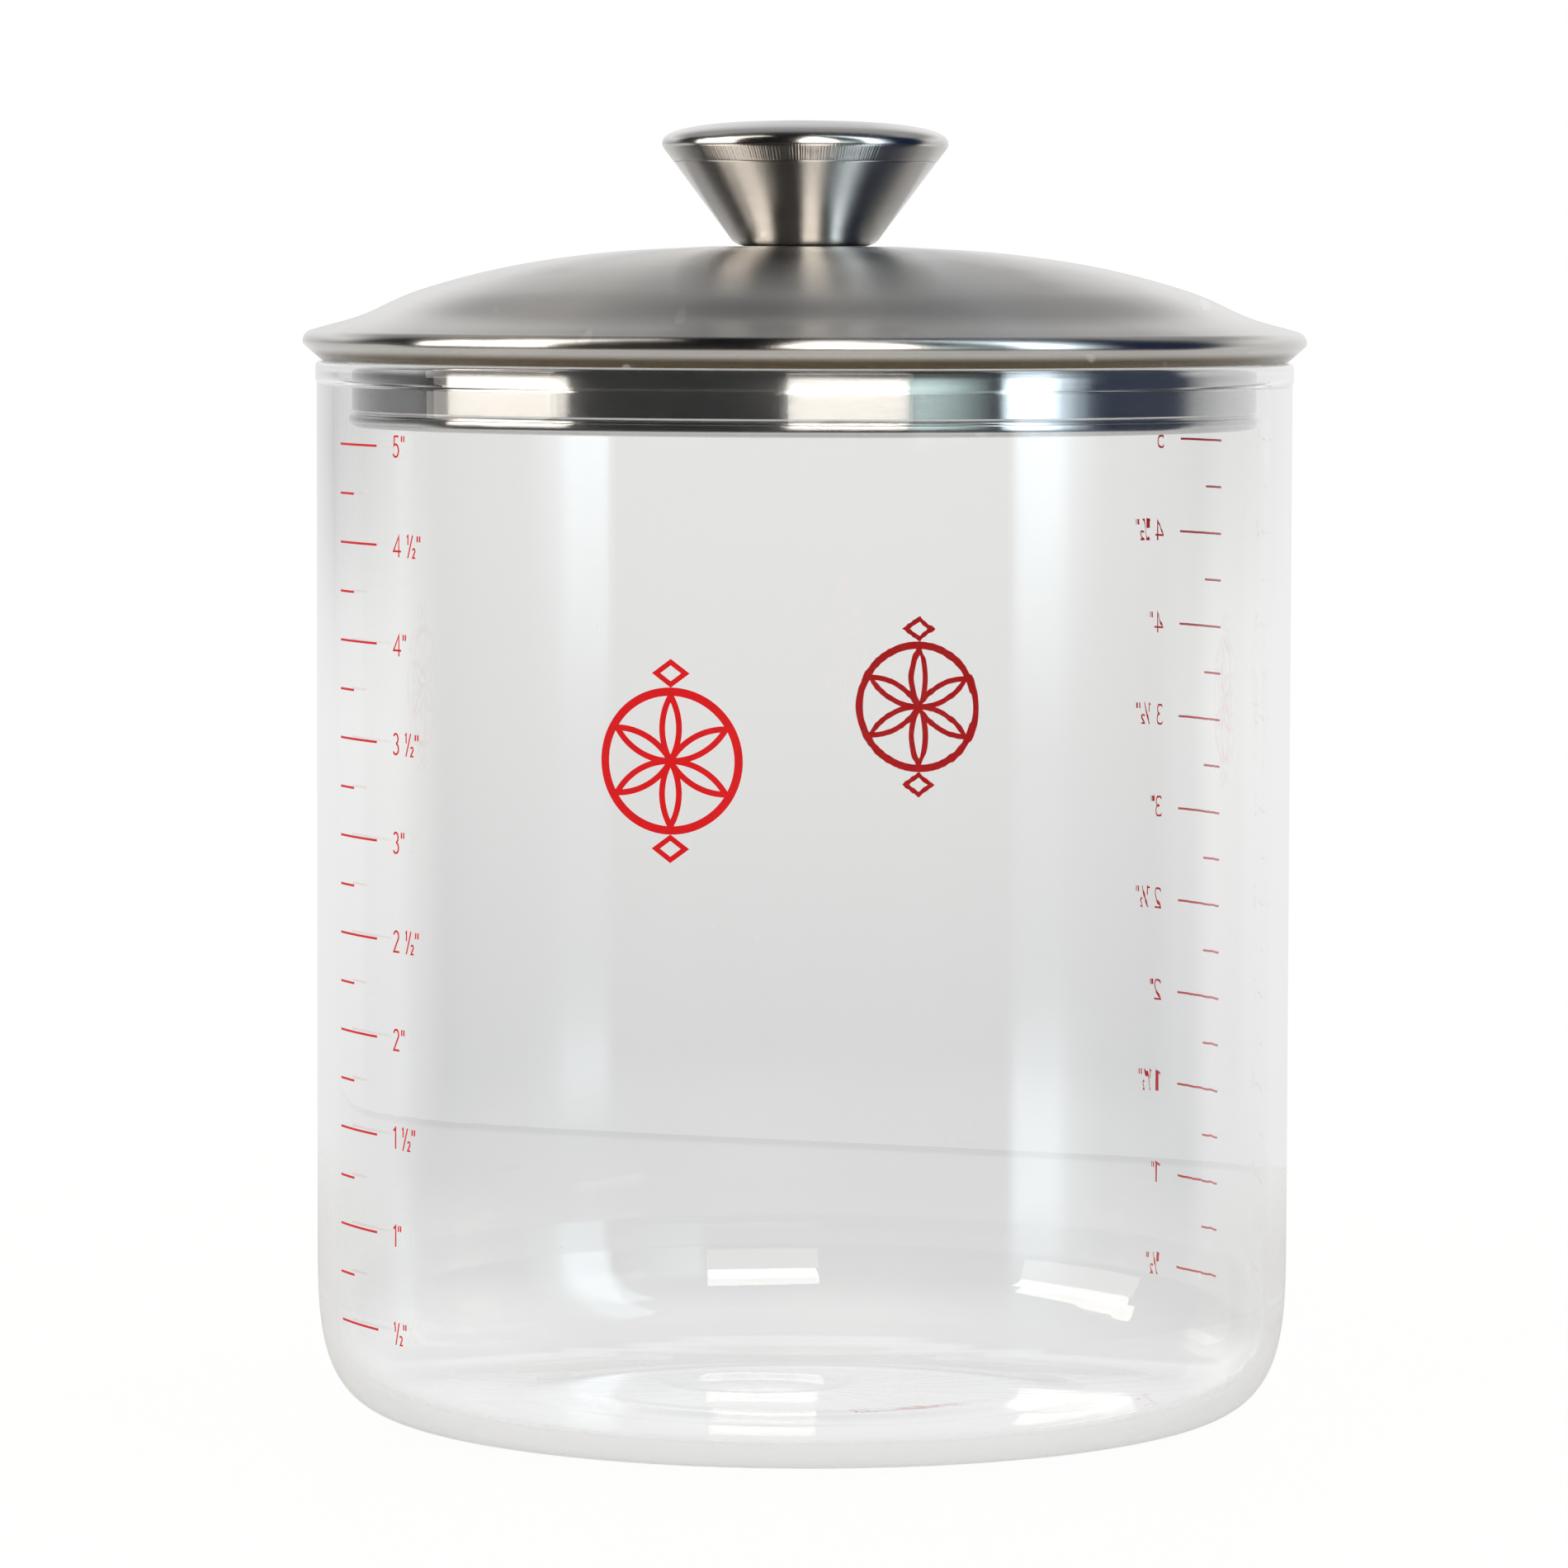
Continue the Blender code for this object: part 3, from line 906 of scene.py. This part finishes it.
def makeKnobCap():
    foot, top, lean = coneLine()
    along = (top - foot).normalized()
    crown = fullCorner(Vector((0, knobEdge)), knob["radius"], knob["crown"], knob["crownPower"], 20)[::-1]
    rollCentre = Vector((knob["radius"] - knobRoll, knobEdge))
    roll = arcPoints(rollCentre, knobRoll, 0, math.degrees(lean) - 90, 12)
    hem = [top - along * knob["hem"] * step / 5 for step in range(1, 6)]
    outline = sheetOutline(crown + roll[1:] + hem, -knob["capSheet"])
    outline[-1].x = 0
    outline = softened(outline, knob["softEdge"])
    hemFoot = hem[-1].y
    crimpTop = knobEdge - knob["crimpTop"]
    aboveFade, belowFade = knob["crimpFade"]

    def crimp(r, z, angle):
        if r < knob["radius"] - knob["crimpWidth"] or z > crimpTop:
            return r, z
        fade = min(1.0, (crimpTop - z) / aboveFade) * min(1.0, 0.35 + (z - hemFoot) / belowFade)
        turn = knob["crimps"] * angle
        wave = math.sin(turn + 1.7 * math.sin(angle * 17) + 0.8 * math.sin(angle * 41))
        wave += 0.5 * math.sin(turn * 0.5 + 2.3 * math.sin(angle * 29))
        return r + knob["crimpDepth"] * fade * wave * 0.67, z

    return turned("knob_cap_steel", outline, knob["capSegments"], crimp)


knobSteel = roundSteel("brushedKnobSteel", knobFinish)
for make, node in ((makeKnobBody, "knob_body"), (makeKnobCap, "knob_cap")):
    piece = make()
    applyMaterial(piece, knobSteel)
    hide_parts(node)
    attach(piece, "lid")
print("knob built")


# Fixing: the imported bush, screw and split washer, with their own finishes

fixings = {
    "knob_bush": {"dark": (0.55, 0.38, 0.16), "bright": (0.78, 0.58, 0.29), "roughness": (0.22, 0.34)},
    "knob_screw": {"dark": (0.42, 0.43, 0.43), "bright": (0.62, 0.62, 0.6), "roughness": (0.24, 0.4)},
    "lock_washer": {"dark": (0.36, 0.37, 0.37), "bright": (0.56, 0.56, 0.55), "roughness": (0.3, 0.46)},
}
fixingFinish = {
    "anisotropy": 0.4,
    "lines": 8000.0,
    "run": 6.0,
    "smears": 160.0,
    "smearBlur": 0.12,
    "bump": 0.15,
}
fixingEdge = 0.00012
for name, look in fixings.items():
    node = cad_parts[name]
    applyMaterial(node, roundSteel(name + "Metal", {**fixingFinish, **look}))
    bevel = node.modifiers.new("edgeRound", "BEVEL")
    bevel.width = fixingEdge
    bevel.segments = 3
    bevel.limit_method = "ANGLE"
print("fixing finished")


# Room: what metal and glass reflect. Angles are in degrees, round from the lens to the right, and up.

room = {
    "plain": 0.85,
    "lowTurns": (
        (-180, 0.9), (-153, 0.65), (-139, 0.35), (-128, 0.15), (-111, 0.08), (-104, 0.0),
        (108, 0.0), (113, 0.4), (118, 0.62), (136, 0.8), (159, 0.9), (180, 0.9),
    ),
    "highTurns": ((-180, 1.0), (-134, 1.0), (-122, 0.0), (108, 0.0), (122, 0.8), (132, 1.0), (180, 1.0)),
    "change": ((2, 0.0), (14, 1.0)),
    "wall": (
        (-12, (0.80, 0.79, 0.78)),
        (-2, (0.95, 0.95, 0.95)),
        (18, (1.0, 1.0, 1.0)),
        (25, (0.76, 0.75, 0.75)),
        (32, (0.40, 0.40, 0.40)),
        (38, (0.38, 0.38, 0.38)),
        (47, (0.45, 0.45, 0.45)),
        (58, (0.08, 0.08, 0.085)),
        (72, (0.015, 0.015, 0.018)),
    ),
    "softHeights": (-20, 60),
    "dark": (
        (-40, (0.12, 0.09, 0.065)),
        (-22, (0.05, 0.04, 0.03)),
        (-10, (0.012, 0.011, 0.010)),
        (0, (0.008, 0.008, 0.008)),
        (90, (0.008, 0.008, 0.010)),
    ),
    "blueSide": ((40, 0.0), (70, 1.0), (108, 1.0), (118, 0.0)),
    "blue": (0.0, 0.012, 0.045),
    "belowTurns": ((-180, 0.95), (-112, 0.9), (-100, 0.0), (104, 0.0), (112, 0.95), (180, 0.95)),
    "below": ((-3.2, 1.0), (-1.7, 0.0)),
    "through": (
        (-7.4, (0.755, 0.755, 0.755)),
        (-5.4, (0.81, 0.805, 0.80)),
        (-3.9, (0.87, 0.86, 0.85)),
        (-1.9, (0.915, 0.905, 0.885)),
        (20, (0.95, 0.94, 0.92)),
    ),
}
# Windows with soft edges, as levels by turn and by height. The hard ones are lamps.
softWindows = (
    {
        "colour": (1.1, 1.4, 1.4),
        "turns": ((24, 0.0), (27, 1.0), (34, 0.8), (42, 0.35), (48, 0.0)),
        "heights": ((-1.5, 0.0), (-1.25, 1.0), (18, 1.0), (22, 0.0)),
    },
    {
        "colour": (3.0, 3.5, 3.8),
        "turns": ((49.5, 0.0), (51.5, 1.0), (62.0, 1.0), (66.0, 0.38), (70.0, 0.2), (76.0, 0.0)),
        "heights": (
            (-9.2, 0.0), (-8.4, 0.7), (-6.4, 0.7), (-5.5, 0.1), (-3.6, 0.1), (-1.5, 1.0),
            (40, 1.0), (60, 0.7),
        ),
    },
)


def rampOf(tree, value, stops):
    ramp = addNode(tree, "ShaderNodeValToRGB")
    feed(tree, ramp.inputs[0], value)
    elements = ramp.color_ramp.elements
    while len(elements) < len(stops):
        elements.new(0.5)
    for element, (place, colour) in zip(elements, stops):
        element.position = place
        element.color = (*colour, 1) if isinstance(colour, tuple) else (colour, colour, colour, 1)
    return ramp.outputs[0]


# 1 where the ray has only gone straight on, through glass or not, since it left the lens
def straightMask(tree, path):
    bounced = calc(tree, "ADD", path.outputs["Glossy Depth"], path.outputs["Diffuse Depth"])
    seen = calc(tree, "MAXIMUM", path.outputs["Is Camera Ray"], path.outputs["Is Transmission Ray"])
    return calc(tree, "MULTIPLY", seen, calc(tree, "LESS_THAN", bounced, 0.5))


def makeRoom():
    world = bpy.data.worlds.new("room")
    bpy.context.scene.world = world
    world.use_nodes = True
    world.cycles.sampling_method = "NONE"
    tree = world.node_tree
    tree.nodes.clear()
    split = addNode(tree, "ShaderNodeSeparateXYZ")
    tree.links.new(addNode(tree, "ShaderNodeTexCoord").outputs["Generated"], split.inputs[0])
    x, y, z = split.outputs
    radians = calc(tree, "ARCTAN2", x, calc(tree, "MULTIPLY", y, -1.0))
    turn = calc(tree, "MULTIPLY_ADD", radians, 0.5 / math.pi, 0.5)
    rise = calc(tree, "ARCSINE", z)
    up = calc(tree, "MULTIPLY_ADD", rise, 1 / math.pi, 0.5)
    lowest, highest = room["softHeights"]
    span = highest - lowest
    fineUp = calc(tree, "MULTIPLY_ADD", rise, 180 / span / math.pi, -lowest / span, clamp=True)

    def byTurn(stops):
        return rampOf(tree, turn, [(place / 360 + 0.5, value) for place, value in stops])

    def byHeight(stops):
        return rampOf(tree, up, [(place / 180 + 0.5, value) for place, value in stops])

    shade = mixedColour(tree, byTurn(room["blueSide"]), (0, 0, 0, 1), (*room["blue"], 1))
    dark = mixedColour(tree, 1.0, byHeight(room["dark"]), shade, "ADD")
    turns = mixedColour(tree, byHeight(room["change"]), byTurn(room["lowTurns"]), byTurn(room["highTurns"]))
    turns = mixedColour(tree, byHeight(room["below"]), turns, byTurn(room["belowTurns"]), "LIGHTEN")
    light = mixedColour(tree, turns, dark, byHeight(room["wall"]))
    for window in softWindows:
        fine = [((place - lowest) / span, value) for place, value in window["heights"]]
        level = calc(tree, "MULTIPLY", byTurn(window["turns"]), rampOf(tree, fineUp, fine))
        shown = mixedColour(tree, level, (0, 0, 0, 1), (*window["colour"], 1))
        light = mixedColour(tree, 1.0, light, shown, "ADD")

    path = addNode(tree, "ShaderNodeLightPath")
    white = mixedColour(tree, path.outputs["Is Camera Ray"], byHeight(room["through"]), (1, 1, 1, 1))
    matt = calc(tree, "GREATER_THAN", path.outputs["Diffuse Depth"], 0.5)
    trapped = calc(tree, "GREATER_THAN", path.outputs["Glossy Depth"], trappedAfter)
    inGlass = calc(tree, "GREATER_THAN", path.outputs["Transmission Depth"], 0.5)
    matt = calc(tree, "MAXIMUM", matt, calc(tree, "MULTIPLY", trapped, inGlass))
    reflected = mixedColour(tree, matt, light, (room["plain"],) * 3 + (1,))
    seen = mixedColour(tree, straightMask(tree, path), reflected, white)
    background = addNode(tree, "ShaderNodeBackground")
    tree.links.new(seen, background.inputs["Color"])
    output = addNode(tree, "ShaderNodeOutputWorld")
    tree.links.new(background.outputs[0], output.inputs["Surface"])


makeRoom()


# Windows: soft boxes that only gloss shows, two to a tier. Each has its turns and its heights in degrees.
# Where surfaces is given, the light passes no more of them: the far wall mirrors neither Glow nor High.

windowDistance = 2.5
windowAim = Vector((0, 0, 0.06))
windowColours = {"left": (1.0, 0.93, 0.85), "near": (1.0, 0.94, 0.87)}
windowTiers = (
    {"name": "Window", "light": 8.0, "left": (-98, -60, 13.6, 21.5), "near": (-4, 25, 14.8, 25.5)},
    {"name": "Glow", "light": 2.4, "left": (-98, -60, 0.3, 13.6), "near": (-4, 25, 0.3, 14.8), "surfaces": 4},
    {"name": "High", "light": 2.4, "left": (-98, -60, 21.5, 42), "near": (-4, 25, 25.5, 42), "surfaces": 0},
    {"name": "MidHigh", "light": 2.4, "left": (-95, -63, 42, 58), "near": (-2, 23, 42, 58), "surfaces": 0},
    {"name": "TopHigh", "light": 2.0, "left": (-93, -65, 58, 73), "near": (0, 21, 58, 73), "surfaces": 0},
)


def addLamp(name, shape, sizes, light, colour, place, aimAt):
    lamp = bpy.data.lights.new(name, "AREA")
    lamp.shape = shape
    lamp.size, lamp.size_y = sizes
    lamp.energy = light * math.pi * sizes[0] * sizes[1]  # light is what a white card there would show
    lamp.color = colour
    holder = bpy.data.objects.new(name, lamp)
    bpy.context.scene.collection.objects.link(holder)
    holder.location = place
    holder.rotation_euler = (Vector(aimAt) - Vector(place)).to_track_quat("-Z", "Y").to_euler()
    holder.visible_camera = False
    return holder


def makeWindow(tier, side):
    start, end, low, high = (math.radians(degrees) for degrees in tier[side])
    turn, height = (start + end) / 2, (low + high) / 2
    level = windowDistance * math.cos(height)
    away = Vector((level * math.sin(turn), -level * math.cos(turn), windowDistance * math.sin(height)))
    sizes = (2 * level * math.tan((end - start) / 2), 2 * windowDistance * math.tan((high - low) / 2))
    place, colour = windowAim + away, windowColours[side]
    holder = addLamp(side + tier["name"], "RECTANGLE", sizes, tier["light"], colour, place, windowAim)
    holder.visible_diffuse = False
    lamp = holder.data
    lamp.use_nodes = True
    tree = lamp.node_tree
    path = addNode(tree, "ShaderNodeLightPath")
    shown = calc(tree, "SUBTRACT", 1.0, straightMask(tree, path))
    if "surfaces" in tier:
        near = calc(tree, "LESS_THAN", path.outputs["Transmission Depth"], tier["surfaces"] + 0.5)
        shown = calc(tree, "MULTIPLY", shown, near)
    tree.links.new(shown, tree.nodes["Emission"].inputs["Strength"])


for tier in windowTiers:
    for side in windowColours:
        makeWindow(tier, side)


# Table: pale, and white where the lens sees it. Its far edge shows faintly through the glass.

table = {
    "colour": (0.82, 0.79, 0.75),
    "deeper": 0.96,
    "clouds": 5.0,
    "roughness": 0.5,
    "behind": 0.311,
    "turn": -19,
    "size": 3.2,
    "sink": 0.00002,
    "fade": ((0.2, 1.0), (0.34, 0.0)),
    "tones": ((0.0, 0.92), (0.06, 0.9), (0.13, 0.8), (0.299, 0.775), (0.304, 0.69), (0.311, 0.69)),
    "toneSpan": 0.4,
    "keepShadow": 0.15,
    "inGlass": 0.6,
    "white": 1.06,
}


def makeTable():
    half = table["size"] / 2
    shape = bmesh.new()
    bmesh.ops.create_grid(shape, x_segments=24, y_segments=24, size=half)
    mesh = bpy.data.meshes.new("table_top")
    shape.to_mesh(mesh)
    shape.free()
    piece = bpy.data.objects.new("table_top", mesh)
    bpy.context.scene.collection.objects.link(piece)
    turn = math.radians(table["turn"])
    shift = table["behind"] * math.cos(turn) - half
    piece.rotation_euler = (0, 0, turn)
    piece.location = (-math.sin(turn) * shift, math.cos(turn) * shift, -table["sink"])
    material, tree, shader = newMaterial("paleTable")
    place = addNode(tree, "ShaderNodeTexCoord").outputs["Object"]
    cloudy = noise(tree, place, table["clouds"], 3.0, 0.5)
    deeper = tuple(part * table["deeper"] for part in table["colour"])
    pale = mixedColour(tree, cloudy, (*deeper, 1), (*table["colour"], 1))
    tree.links.new(pale, shader.inputs["Base Color"])
    shader.inputs["Roughness"].default_value = table["roughness"]
    along = addNode(tree, "ShaderNodeSeparateXYZ")
    tree.links.new(place, along.inputs[0])
    stretch = 1 / table["toneSpan"]
    away = calc(tree, "MULTIPLY_ADD", along.outputs[1], stretch, stretch * shift)
    near = rampOf(tree, away, [(stretch * far * math.cos(turn), tone) for far, tone in table["tones"]])
    path = addNode(tree, "ShaderNodeLightPath")
    straight = straightMask(tree, path)
    glow = addNode(tree, "ShaderNodeEmission")
    white = (table["white"],) * 3 + (1,)
    tree.links.new(mixedColour(tree, path.outputs["Is Camera Ray"], near, white), glow.inputs["Color"])
    lit = addNode(tree, "ShaderNodeMixShader")
    mirrored = calc(tree, "GREATER_THAN", path.outputs["Glossy Depth"], 0.5)
    inGlass = calc(tree, "GREATER_THAN", path.outputs["Transmission Depth"], 0.5)
    fromHeel = calc(tree, "MULTIPLY", calc(tree, "MULTIPLY", mirrored, inGlass), table["inGlass"])
    share = calc(tree, "MAXIMUM", calc(tree, "MULTIPLY", straight, 1 - table["keepShadow"]), fromHeel)
    tree.links.new(share, lit.inputs[0])
    tree.links.new(shader.outputs[0], lit.inputs[1])
    tree.links.new(glow.outputs[0], lit.inputs[2])
    spread = addNode(tree, "ShaderNodeVectorMath", operation="LENGTH")
    tree.links.new(addNode(tree, "ShaderNodeNewGeometry").outputs["Position"], spread.inputs[0])
    kept = rampOf(tree, spread.outputs["Value"], table["fade"])
    nothing = addNode(tree, "ShaderNodeBsdfTransparent")
    both = addNode(tree, "ShaderNodeMixShader")  # in gloss the far parts of the table fade into the room
    tree.links.new(calc(tree, "MAXIMUM", kept, straight), both.inputs[0])
    tree.links.new(nothing.outputs[0], both.inputs[1])
    tree.links.new(lit.outputs[0], both.inputs[2])
    tree.links.new(both.outputs[0], tree.nodes["Material Output"].inputs["Surface"])
    applyMaterial(piece, material)


makeTable()


# Two soft boxes for what is matt. Metal and glass reflect the room and its windows instead.

softBoxes = (
    {"name": "keyBox", "place": (-0.9, -1.1, 1.2), "size": 0.9, "light": 0.9, "colour": (1.0, 0.98, 0.95)},
    {"name": "fillBox", "place": (1.1, -0.8, 0.9), "size": 0.8, "light": 0.5, "colour": (0.95, 0.98, 1.0)},
)
softBoxAim = (0, 0, 0.08)
for box in softBoxes:
    sizes = (box["size"], box["size"])
    holder = addLamp(box["name"], "SQUARE", sizes, box["light"], box["colour"], box["place"], softBoxAim)
    holder.visible_glossy = False
    holder.visible_transmission = False
print("room, table and lights built")


# Camera: where the photograph was taken from

lens = {
    "place": (0.0, -1.0347, 0.156),
    "focal": 178.9,
    "sensor": 36.0,
    "clip": (0.05, 50.0),
    "down": 0.06985,
    "yaw": -0.00248,
    "roll": 0.0030,
}


def makeCamera():
    down, yaw, roll = lens["down"], lens["yaw"], lens["roll"]
    ahead = Vector((math.sin(yaw) * math.cos(down), math.cos(yaw) * math.cos(down), -math.sin(down)))
    right = ahead.cross(Vector((0, 0, 1))).normalized()
    above = right.cross(ahead)
    cameraX = right * math.cos(roll) + above * math.sin(roll)
    cameraY = above * math.cos(roll) - right * math.sin(roll)
    data = bpy.data.cameras.new("camera")
    data.sensor_width = lens["sensor"]
    data.lens = lens["focal"]
    data.clip_start, data.clip_end = lens["clip"]
    holder = bpy.data.objects.new("camera", data)
    bpy.context.scene.collection.objects.link(holder)
    facing = Matrix((cameraX, cameraY, -ahead)).transposed()
    holder.matrix_world = Matrix.Translation(lens["place"]) @ facing.to_4x4()
    bpy.context.scene.camera = holder


makeCamera()
bpy.context.scene.view_settings.view_transform = "Standard"
